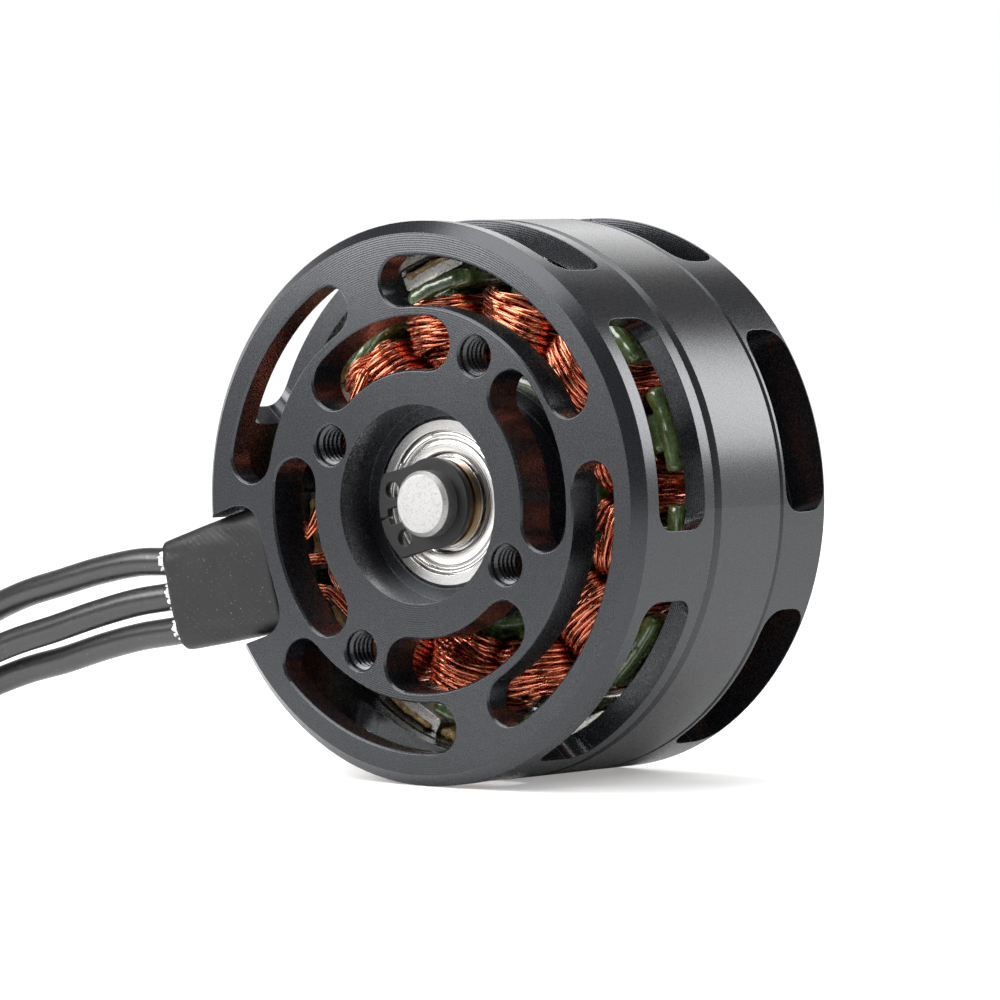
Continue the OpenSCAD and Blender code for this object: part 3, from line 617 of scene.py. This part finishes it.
LEAD_ROUTES = {
    "upper": [
        (-0.0216, 0.0026, -0.0041), (-0.0263, 0.0026, -0.0053), (-0.0302, 0.0026, -0.0056),
        (-0.0344, 0.0027, -0.0064), (-0.0386, 0.0028, -0.0075), (-0.0430, 0.0030, -0.0087),
        (-0.0476, 0.0034, -0.0105), (-0.0522, 0.0040, -0.0130), (-0.0568, 0.0046, -0.0160),
        (-0.0615, 0.0050, -0.0187), (-0.0656, 0.0053, -0.0201), (-0.0705, 0.0061, -0.0201),
        (-0.0755, 0.0073, -0.0201), (-0.0805, 0.0089, -0.0201), (-0.0855, 0.0106, -0.0201),
        (-0.0905, 0.0120, -0.0201), (-0.0955, 0.0130, -0.0201), (-0.1005, 0.0136, -0.0201),
        (-0.1050, 0.0138, -0.0198), (-0.1088, 0.0138, -0.0192), (-0.1120, 0.0138, -0.0189),
        (-0.1156, 0.0138, -0.0189)],
    "middle": [
        (-0.0209, 0.0026, -0.0067), (-0.0256, 0.0026, -0.0079), (-0.0302, 0.0024, -0.0087),
        (-0.0344, 0.0022, -0.0098), (-0.0386, 0.0020, -0.0111), (-0.0430, 0.0018, -0.0124),
        (-0.0476, 0.0014, -0.0142), (-0.0522, 0.0009, -0.0163), (-0.0570, 0.0004, -0.0186),
        (-0.0615, 0.0002, -0.0201), (-0.0670, 0.0003, -0.0201), (-0.0720, 0.0006, -0.0201),
        (-0.0770, 0.0010, -0.0201), (-0.0820, 0.0014, -0.0201), (-0.0870, 0.0019, -0.0201),
        (-0.0920, 0.0025, -0.0201), (-0.0970, 0.0030, -0.0201), (-0.1020, 0.0033, -0.0201),
        (-0.1065, 0.0034, -0.0198), (-0.1105, 0.0034, -0.0192), (-0.1140, 0.0034, -0.0189),
        (-0.1174, 0.0034, -0.0189)],
    "lower": [
        (-0.0202, 0.0026, -0.0092), (-0.0249, 0.0026, -0.0105), (-0.0302, 0.0029, -0.0114),
        (-0.0344, 0.0031, -0.0124), (-0.0386, 0.0033, -0.0136), (-0.0430, 0.0034, -0.0147),
        (-0.0476, 0.0033, -0.0163), (-0.0522, 0.0031, -0.0183), (-0.0570, 0.0028, -0.0198),
        (-0.0618, 0.0027, -0.0201), (-0.0670, 0.0028, -0.0201), (-0.0720, 0.0033, -0.0201),
        (-0.0770, 0.0043, -0.0201), (-0.0820, 0.0055, -0.0201), (-0.0870, 0.0067, -0.0201),
        (-0.0920, 0.0076, -0.0201), (-0.0970, 0.0082, -0.0201), (-0.1018, 0.0085, -0.0201),
        (-0.1060, 0.0086, -0.0198), (-0.1098, 0.0086, -0.0192), (-0.1130, 0.0086, -0.0189),
        (-0.1164, 0.0086, -0.0189)],
}


LEAD_SPACING = 2.65
TAIL_TEETH = (4, 6, 7)
TAIL_INTO_LEAD = 2.51


def tail_wires():
    """The wire ends that run from the coils into the sleeve."""
    draw = random.Random(31)
    shell = Shell()
    for lead, tooth in enumerate(TAIL_TEETH):
        angle = tooth_angle(tooth)
        side = (lead - 1) * LEAD_SPACING
        start, after = (np.array(p) / MM for p in list(LEAD_ROUTES.values())[lead][:2])
        inwards = unit(start - after)
        end = start + TAIL_INTO_LEAD * inwards
        line = smoothed([
            in_motor(angle, TAIL_R, 8.3), in_motor(angle, TAIL_R, 7.45), in_motor(angle, TAIL_R, 6.9),
            in_sleeve(-1.8, side, 4.92), in_sleeve(-1.17, side, 4.2), in_sleeve(-0.54, side, 3.28),
            in_sleeve(0.54, side, 3.0), end + 0.9 * inwards, end], 0.4)
        _, across, over = frames(line, (0.3, 0, 1))
        add_bundle(shell, line, across, over, draw, flat=(0.8, 0.8))
    return made("tail_wires", shell.points, shell.faces, "root", "enamelled_copper", ["phase_tails"])


tail_wires()


# Coated stator

def rounded_block(half, radius, cuts):
    """A block with round edges, as points and faces about its centre."""
    points, index, faces = [], {}, []

    def point(p):
        key = tuple(np.round(p, 5))
        if key not in index:
            inner = np.clip(p, -(half - radius), half - radius)
            way = p - inner
            index[key] = len(points)
            points.append(inner + radius * way / max(np.linalg.norm(way), 1e-9))
        return index[key]

    for axis in range(3):
        u, v = (axis + 1) % 3, (axis + 2) % 3
        for end in (-1, 1):
            for i in range(cuts[u]):
                for j in range(cuts[v]):
                    corner = []
                    for a, b in ((0, 0), (1, 0), (1, 1), (0, 1)):
                        p = np.zeros(3)
                        p[axis] = end * half[axis]
                        p[u] = half[u] * (2 * (i + a) / cuts[u] - 1)
                        p[v] = half[v] * (2 * (j + b) / cuts[v] - 1)
                        corner.append(point(p))
                    faces.append(corner if end > 0 else corner[::-1])
    return np.array(points), faces


def turned(outline, count=96):
    """A body turned about the motor's axis from its [distance, depth] outline, which closes on itself."""
    turns = TURN * np.arange(count) / count
    rings = [np.array([(r * math.cos(a), d, r * math.sin(a)) for r, d in outline]) for a in turns]
    return tube_of(rings, closed=True)


COAT_FRONT, COAT_BACK = 9.25, 16.15
YOKE_SECTION = [(8.3, 9.5), (8.5, 9.3), (9.7, 9.3), (10.05, 9.6), (10.05, 15.8), (9.7, 16.1), (8.5, 16.1),
                (8.3, 15.9)]
NECK_R, NECK_HALF_R, NECK_HALF_W = 13.2, 3.6, 1.55
TIP_R, TIP_HALF_R, TIP_HALF_W = 17.09, 0.75, 3.36
TIP_BEND_R = 17.4


def stator_coat():
    """Epoxy over the core: a yoke ring, twelve necks and twelve round-edged tips."""
    draw = random.Random(41)
    shell = Shell()
    shell.add(*turned(YOKE_SECTION))
    middle, half_l = (COAT_FRONT + COAT_BACK) / 2, (COAT_BACK - COAT_FRONT) / 2
    for tooth in range(TOOTH_COUNT):
        angle = tooth_angle(tooth)
        neck, faces = rounded_block(np.array([NECK_HALF_R, NECK_HALF_W, half_l - 0.05]), 0.4, (6, 6, 12))
        spot = in_motor(angle, 1, 0)
        side = in_motor(angle + 90, 1, 0)
        shell.add([(NECK_R + p[0]) * spot + p[1] * side + np.array([0, middle + p[2], 0]) for p in neck],
                  faces)
        tip, faces = rounded_block(np.array([TIP_HALF_R, TIP_HALF_W, half_l]), 0.55, (6, 26, 24))
        lump = [draw.uniform(0, TURN) for _ in range(4)]
        bent = []
        for p in tip:
            swell = 0.035 * math.sin(1.9 * p[1] + lump[0]) + 0.03 * math.sin(2.6 * p[2] + lump[1])
            swell += 0.02 * math.sin(4.3 * p[1] + 3.1 * p[2] + lump[2])
            r = TIP_R + p[0] * (1 + 0.9 * swell)
            depth = middle + p[2] * (1 + 0.35 * swell * abs(p[2]) / half_l)
            bent.append(in_motor(angle + math.degrees(p[1] / TIP_BEND_R), r, depth))
        shell.add(bent, faces)
    return made("stator_coat", shell.points, shell.faces, "root", "green_epoxy", ["stator_insulation"])


stator_coat()


# Magnet glue

# Share of a magnet's pitch, distance from the axis, and half sizes outwards, round and along the axis
GLUE_BEDS = [(0, 19.16, (0.23, 2.5, 3.1)), (0.5, 19.05, (0.36, 0.9, 2.95))]


def magnet_glue():
    """Lumpy glue behind each magnet and in the gaps between them."""
    draw = random.Random(51)
    shell = Shell()
    for i in range(MAGNET_COUNT):
        for pitch_share, r, half in GLUE_BEDS:
            if pitch_share and i in GLUE_FREE_GAPS:
                continue
            angle = MAGNET_TURN + 360 / MAGNET_COUNT * (i + pitch_share)
            form, faces = rounded_block(np.array(half), 0.25, (3, 16, 16))
            lump = [draw.uniform(0, TURN) for _ in range(5)]
            bent = []
            for p in form:
                rough = (math.sin(2.7 * p[1] + lump[0]) + math.sin(5.2 * p[1] - 2.2 * p[2] + lump[1])
                         + 0.7 * math.sin(4.1 * p[2] + lump[2]) + 0.5 * math.sin(9 * p[1] + lump[3]))
                end = 0.13 * rough * (abs(p[2]) / half[2]) ** 6
                depth = (MAGNET_FRONT + MAGNET_BACK) / 2 + p[2] + math.copysign(end, p[2]) - 0.1
                reach = min(r + p[0] * (1 + 0.12 * rough), RING_INNER_R + 0.05)
                bent.append(in_motor(angle + math.degrees(p[1] / r), reach, depth))
            shell.add(bent, faces)
    return made("magnet_glue", shell.points, shell.faces, "rotor", None, finish=GLUE)


magnet_glue()


# Screw threads

THREAD_PITCH = 0.5
THREAD_STEPS = 28
THREAD_HALF_W = 0.21
CREST_HALF_W = 0.05
HOLE_R, CREST_R = 1.5, 1.24
MOUNT_CIRCLE_RS = (9.5, 12.5)
PROP_CIRCLE_R = 6


def thread(angle, circle_r, front, back):
    """One helical ridge inside a hole that runs along the axis."""
    centre = in_motor(angle, circle_r, 0)
    count = int((back - front) / THREAD_PITCH * THREAD_STEPS)
    root_r = HOLE_R + 0.03
    rings = []
    for i in range(count + 1):
        a = TURN * i / THREAD_STEPS
        depth = front + THREAD_PITCH * i / THREAD_STEPS
        fade = min(i / 10, (count - i) / 10, 1)
        crest = HOLE_R - (HOLE_R - CREST_R) * max(fade, 0.05)
        ring = []
        for r, d in ((root_r, -THREAD_HALF_W), (crest, -CREST_HALF_W), (crest, CREST_HALF_W),
                     (root_r, THREAD_HALF_W)):
            ring.append(centre + np.array([r * math.cos(a), depth + d, r * math.sin(a)]))
        rings.append(np.array(ring))
    return tube_of(rings)


def threads(name, holes, body):
    shell = Shell()
    for hole in holes:
        shell.add(*thread(*hole))
    piece = made(name, shell.points, shell.faces, body, "anodised")
    piece.data.shade_flat()
    return piece


threads("mount_threads", [
    (LEAD_ANGLE - 45 + 90 * k, MOUNT_CIRCLE_RS[k % 2], 0.45, 3.05) for k in (1, 2, 3, 4)], "root")
threads("prop_threads", [(PROP_TURN + 45 + 90 * k, PROP_CIRCLE_R, 21.2, 22.75) for k in range(4)], "rotor")


# Circlip and bearing shields

CLIP_BORE_R = 2.42
CLIP_RING_R = 3.45
CLIP_LUG_R = 5.2
CLIP_LUG_ANGLE = 39
CLIP_FLANK_ANGLE = 32
CLIP_SLIT = 0.09
NOTCH_HALF_W, NOTCH_NEAR, NOTCH_FAR = 0.62, 2.9, 4.45
CLIP_EDGE_R = 0.05
CLIP_EYE_R = 0.64
CLIP_EYES = [(4.0, -28.5), (3.8, 29.5)]


def arc(r, first, last, count):
    """Points on a circle in the clip's own frame, where the lugs point along 0 degrees."""
    return [(r * math.cos(a), r * math.sin(a)) for a in np.radians(np.linspace(first, last, count))]


def circlip():
    """Flat circlip whose lugs run on from its ring, with a slit and a notch between them."""
    slit_angle = math.degrees(CLIP_SLIT / CLIP_LUG_R)
    ring_start = CLIP_LUG_ANGLE + CLIP_FLANK_ANGLE
    bore_angle = math.degrees(math.asin(NOTCH_HALF_W / CLIP_BORE_R))
    outline = arc(CLIP_LUG_R, slit_angle, CLIP_LUG_ANGLE, 14)
    outline += arc(CLIP_RING_R, ring_start, 360 - ring_start, 60)
    outline += arc(CLIP_LUG_R, -CLIP_LUG_ANGLE, -slit_angle, 14)
    outline += [(NOTCH_FAR, -CLIP_SLIT), (NOTCH_FAR - 0.1, -NOTCH_HALF_W), (NOTCH_NEAR, -NOTCH_HALF_W)]
    outline += arc(CLIP_BORE_R, 360 - bore_angle, bore_angle, 60)
    outline += [(NOTCH_NEAR, NOTCH_HALF_W), (NOTCH_FAR - 0.1, NOTCH_HALF_W), (NOTCH_FAR, CLIP_SLIT)]
    rims = [outline]
    for r, a in CLIP_EYES:
        middle = arc(r, a, a, 1)[0]
        rims.append([(middle[0] + x, middle[1] + y) for x, y in arc(CLIP_EYE_R, 0, 360 - 360 / 32, 32)])
    curve = bpy.data.curves.new("flat_circlip", "CURVE")
    curve.dimensions = "2D"
    curve.fill_mode = "BOTH"
    curve.extrude = ((CLIP_BACK - CLIP_FRONT) / 2 - CLIP_EDGE_R) * MM
    curve.bevel_depth = CLIP_EDGE_R * MM
    curve.bevel_resolution = 2
    curve.offset = -CLIP_EDGE_R * MM
    turn = math.radians(CLIP_TURN)
    for rim in rims:
        spline = curve.splines.new("POLY")
        spline.points.add(len(rim) - 1)
        spline.use_cyclic_u = True
        for point, (along, side) in zip(spline.points, rim):
            x = along * math.cos(turn) - side * math.sin(turn)
            z = along * math.sin(turn) + side * math.cos(turn)
            point.co = (x * MM, z * MM, 0, 1)
    piece = bpy.data.objects.new("flat_circlip", curve)
    bpy.context.scene.collection.objects.link(piece)
    piece.rotation_euler = (math.pi / 2, 0, 0)
    piece.location = (0, (CLIP_FRONT + CLIP_BACK) / 2 * MM, 0)
    curve.materials.append(FINISHES["spring_steel"].material)
    bpy.context.view_layer.update()
    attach(piece, "rotor")
    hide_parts("circlip")
    return piece


circlip()


# Half section of a pressed shield, as [distance from the axis, depth behind the bearing's face]
SHIELD_SECTION = [(3.76, 0.37), (3.76, 0.19), (3.80, 0.15), (3.95, 0.13), (4.66, 0.12), (4.76, 0.15),
                  (4.83, 0.28), (4.96, 0.32), (5.02, 0.30), (5.05, 0.24), (5.42, 0.24), (5.46, 0.30),
                  (5.42, 0.39), (3.80, 0.40)]
SNAP_RING_R, SNAP_WIRE_R, SNAP_DEPTH = 5.24, 0.125, 0.15
SNAP_ENDS = (147, 360 + 106)


def pressed_shields():
    """The front bearing's two shields, each held by a wire ring whose ends stand apart."""
    shell = Shell()
    turn = np.radians(np.linspace(*SNAP_ENDS, 120))
    around = TURN * np.arange(10) / 10
    for face, way in ((BEARING_FRONT, 1), (BEARING_FRONT + BEARING_W, -1)):
        shell.add(*turned([(r, face + way * d) for r, d in SHIELD_SECTION], 128))
        rings = []
        for a in turn:
            r = SNAP_RING_R + SNAP_WIRE_R * np.cos(around)
            rings.append(np.stack([r * math.cos(a), face + way * (SNAP_DEPTH + SNAP_WIRE_R * np.sin(around)),
                                   r * math.sin(a)], axis=1))
        shell.add(*tube_of(rings))
    return made("pressed_shields", shell.points, shell.faces, "root", "shield_steel", ["front_shields"])


pressed_shields()


# Leads, sleeve and plugs

SLEEVE_HALF_W, SLEEVE_HALF_H = 4.95, 1.72
SLEEVE_WALL = 0.38


def shrunk_sleeve():
    """Heat-shrink sleeve, wide at the motor and drawn in over the three leads."""
    def section(along, wall):
        share = along / SLEEVE_LENGTH
        half_w = SLEEVE_HALF_W - 0.62 * share ** 1.4 - wall
        half_h = SLEEVE_HALF_H - 0.10 * share - wall
        ring = []
        for k in range(72):
            a = TURN * k / 72
            c, s = math.cos(a), math.sin(a)
            side = half_w * math.copysign(abs(c) ** 0.42, c)
            lift = half_h * math.copysign(abs(s) ** 0.60, s)
            over_leads = 0.09 * share * math.cos(TURN * side / LEAD_SPACING) * abs(s)
            lift += math.copysign(over_leads + 0.05 * math.sin(0.9 * along + side), s)
            ring.append(in_sleeve(along, side, SLEEVE_DEPTH - lift))
        return np.array(ring)

    alongs = np.linspace(0, SLEEVE_LENGTH, 30)
    rings = [section(a, 0) for a in alongs] + [section(SLEEVE_LENGTH + 0.12, 0.16)]
    rings += [section(SLEEVE_LENGTH, SLEEVE_WALL)] + [section(a, SLEEVE_WALL) for a in alongs[-2:0:-6]]
    rings += [section(0, SLEEVE_WALL)]
    points, faces = tube_of(rings, closed=True)
    return made("shrunk_sleeve", points, faces, "root", "heat_shrink", ["lead_sleeve"])


shrunk_sleeve()


FLAKES_PER_LEAD = 26


def lead_sealant():
    """Flakes of dried sealant where the leads enter the sleeve."""
    draw = random.Random(61)
    shell = Shell()
    ball, faces = rounded_block(np.array([1.0, 1.0, 1.0]), 1.0, (6, 6, 6))
    for route in LEAD_ROUTES.values():
        start, mouth = (np.array(p) / MM for p in route[:2])
        out = unit(mouth - start)
        level = unit(np.cross(out, (0, 1, 0)))
        front = np.cross(level, out)
        for _ in range(FLAKES_PER_LEAD):
            a = draw.gauss(0, 0.9) + (0 if draw.random() < 0.8 else math.pi)
            spot = mouth + out * draw.uniform(0.05, 0.75) + (LEAD_R + 0.02) * (
                math.cos(a) * -front + math.sin(a) * level)
            size = np.array([draw.uniform(0.12, 0.42), draw.uniform(0.10, 0.3), draw.uniform(0.06, 0.16)])
            bumps = [draw.uniform(0, TURN) for _ in range(3)]
            points = []
            for p in ball:
                rough = 1 + 0.3 * math.sin(3.1 * p[0] + bumps[0]) * math.cos(2.3 * p[1] + bumps[1])
                q = p * size * rough
                points.append(spot + q[0] * out + q[1] * (math.cos(a) * level + math.sin(a) * front)
                              + q[2] * (math.cos(a) * -front + math.sin(a) * level))
            shell.add(points, faces)
    return made("lead_sealant", shell.points, shell.faces, "root", None, finish=SEALANT)


lead_sealant()


# Outlines as [radius, distance outwards from the end of the lead]
PLUG_OUTLINE = [(0, 0), (2.12, 0), (2.12, 1), (2.0, 1.15), (2.0, 5.35), (2.3, 5.5), (2.3, 6.5), (1.45, 6.55),
                (1.45, 7.2), (1.62, 7.6), (1.75, 9.2), (1.75, 12.2), (1.6, 14.0), (1.4, 14.5), (1.15, 15.1),
                (0.7, 15.45), (0, 15.5)]
BOOT_OUTLINE = [(1.13, -5.0), (1.42, -5.05), (1.45, -3.0), (1.6, -1.2), (2.26, 0.3), (2.29, 3.2), (2.26, 5.0),
                (2.18, 5.1), (2.14, 4.9), (2.14, 0.4), (1.3, -1.0), (1.13, -3.0)]


def plug(name, route, node):
    """Bullet plug with a solder cup and a slotted spring pin."""
    start = np.array(route[-1]) / MM
    shell = Shell()
    rings = []
    for r, x in PLUG_OUTLINE:
        ring = []
        for k in range(64):
            a = TURN * k / 64
            slot = 0.82 if 7.0 < x < 14.8 and k % 16 in (0, 1) else 1
            reach = max(r * slot, 0.01)
            ring.append(start + np.array([-x, reach * math.cos(a), reach * math.sin(a)]))
        rings.append(np.array(ring))
    shell.add(*tube_of(rings))
    return made(name, shell.points, shell.faces, "root", "gold_plate", [node])


def shrunk_boot(name, route):
    """Heat-shrink over the joint of lead and plug."""
    start = np.array(route[-1]) / MM
    points, faces = turned(BOOT_OUTLINE, 48)
    points = np.array([start + np.array([-p[1], p[0], p[2]]) for p in points])
    return made(name, points, faces, "root", "heat_shrink")


def lead(name, route, node, pieces):
    line = smoothed(np.array(route) / MM, 0.6)
    curve = bpy.data.curves.new(name, "CURVE")
    curve.dimensions = "3D"
    curve.bevel_depth = LEAD_R * MM
    curve.bevel_resolution = 6
    curve.use_fill_caps = True
    spline = curve.splines.new("POLY")
    spline.points.add(len(line) - 1)
    for point, place in zip(spline.points, line):
        point.co = (*(place * MM), 1)
    spline.use_smooth = True
    piece = bpy.data.objects.new(name, curve)
    bpy.context.scene.collection.objects.link(piece)
    curve.materials.append(FINISHES["silicone"].material)
    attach(piece, "root")
    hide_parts(node)
    return piece


for side_name, route in LEAD_ROUTES.items():
    ends = [plug(f"plug_{side_name}", route, f"{side_name}_plug"), shrunk_boot(f"boot_{side_name}", route)]
    lead(f"lead_{side_name}", route, f"{side_name}_lead", ends)


# Floor, background and lamps

FLOOR_Z = -MOTOR_R
FLOOR_HALF = 3000
ROOM_LEVEL = 0.13


def add_floor():
    mesh = bpy.data.meshes.new("floor")
    corners = [(-FLOOR_HALF, -FLOOR_HALF), (FLOOR_HALF, -FLOOR_HALF), (FLOOR_HALF, FLOOR_HALF),
               (-FLOOR_HALF, FLOOR_HALF)]
    mesh.from_pydata([(x * MM, y * MM, FLOOR_Z * MM) for x, y in corners], [], [[0, 1, 2, 3]])
    floor = bpy.data.objects.new("floor", mesh)
    bpy.context.scene.collection.objects.link(floor)
    f = Finish("white_floor", Base_Color=(0.74, 0.74, 0.74), Roughness=0.7, Specular_IOR_Level=0.0,
               Emission_Strength=1.0)
    seen = f.node("ShaderNodeLightPath", output="Is Camera Ray")
    f.shade(Emission_Color=f.mix(seen, (0, 0, 0), (0.29, 0.285, 0.28)))
    mesh.materials.append(f.material)


class Studio(Finish):
    """The world's shader, made with the same methods."""

    def __init__(self, world):
        world.use_nodes = True
        self.tree = world.node_tree
        self.shader = self.tree.nodes["Background"]


def add_world():
    """White all round. Shiny surfaces mirror the white backdrop behind the motor and a dim room elsewhere."""
    world = bpy.data.worlds.new("studio")
    bpy.context.scene.world = world
    s = Studio(world)
    _, behind, height = s.parts(s.node("ShaderNodeTexCoord", output="Generated"))
    backdrop = s.spread(behind, 0.2, 0.5) * s.spread(height, 0.35, 0.55, 1, 0)
    mirrored = s.node("ShaderNodeLightPath", output="Is Glossy Ray")
    s.shade(Color=(1, 1, 1), Strength=1 - mirrored * (1 - backdrop) * (1 - ROOM_LEVEL))


def add_lamp(name, place, size, power, target):
    data = bpy.data.lights.new(name, "AREA")
    data.shape = "RECTANGLE"
    data.size, data.size_y = size[0] * MM, size[1] * MM
    data.energy = power
    lamp = bpy.data.objects.new(name, data)
    bpy.context.scene.collection.objects.link(lamp)
    place, target = Vector(place) * MM, Vector(target) * MM
    lamp.location = place
    lamp.rotation_euler = (target - place).to_track_quat("-Z", "Y").to_euler()


# Each lamp's place, size, power and target
LAMPS = {
    "softbox_front": ((-57, -70, 51), (100, 64), 0.19, (0, 0, 8)),
    "softbox_above": ((-40, -60, 480), (420, 360), 2.0, (0, 8, 0)),
    "card_right": ((212, 350, 185), (150, 230), 0.74, (0, 8, 0)),
    "card_left": ((-190, 350, 215), (190, 150), 0.15, (0, 8, 0)),
    "lamp_right": ((520, -160, 260), (200, 380), 0.28, (0, 8, 0)),
}

add_floor()
add_world()
for lamp, settings in LAMPS.items():
    add_lamp(lamp, *settings)
bpy.context.scene.view_settings.view_transform = "Standard"
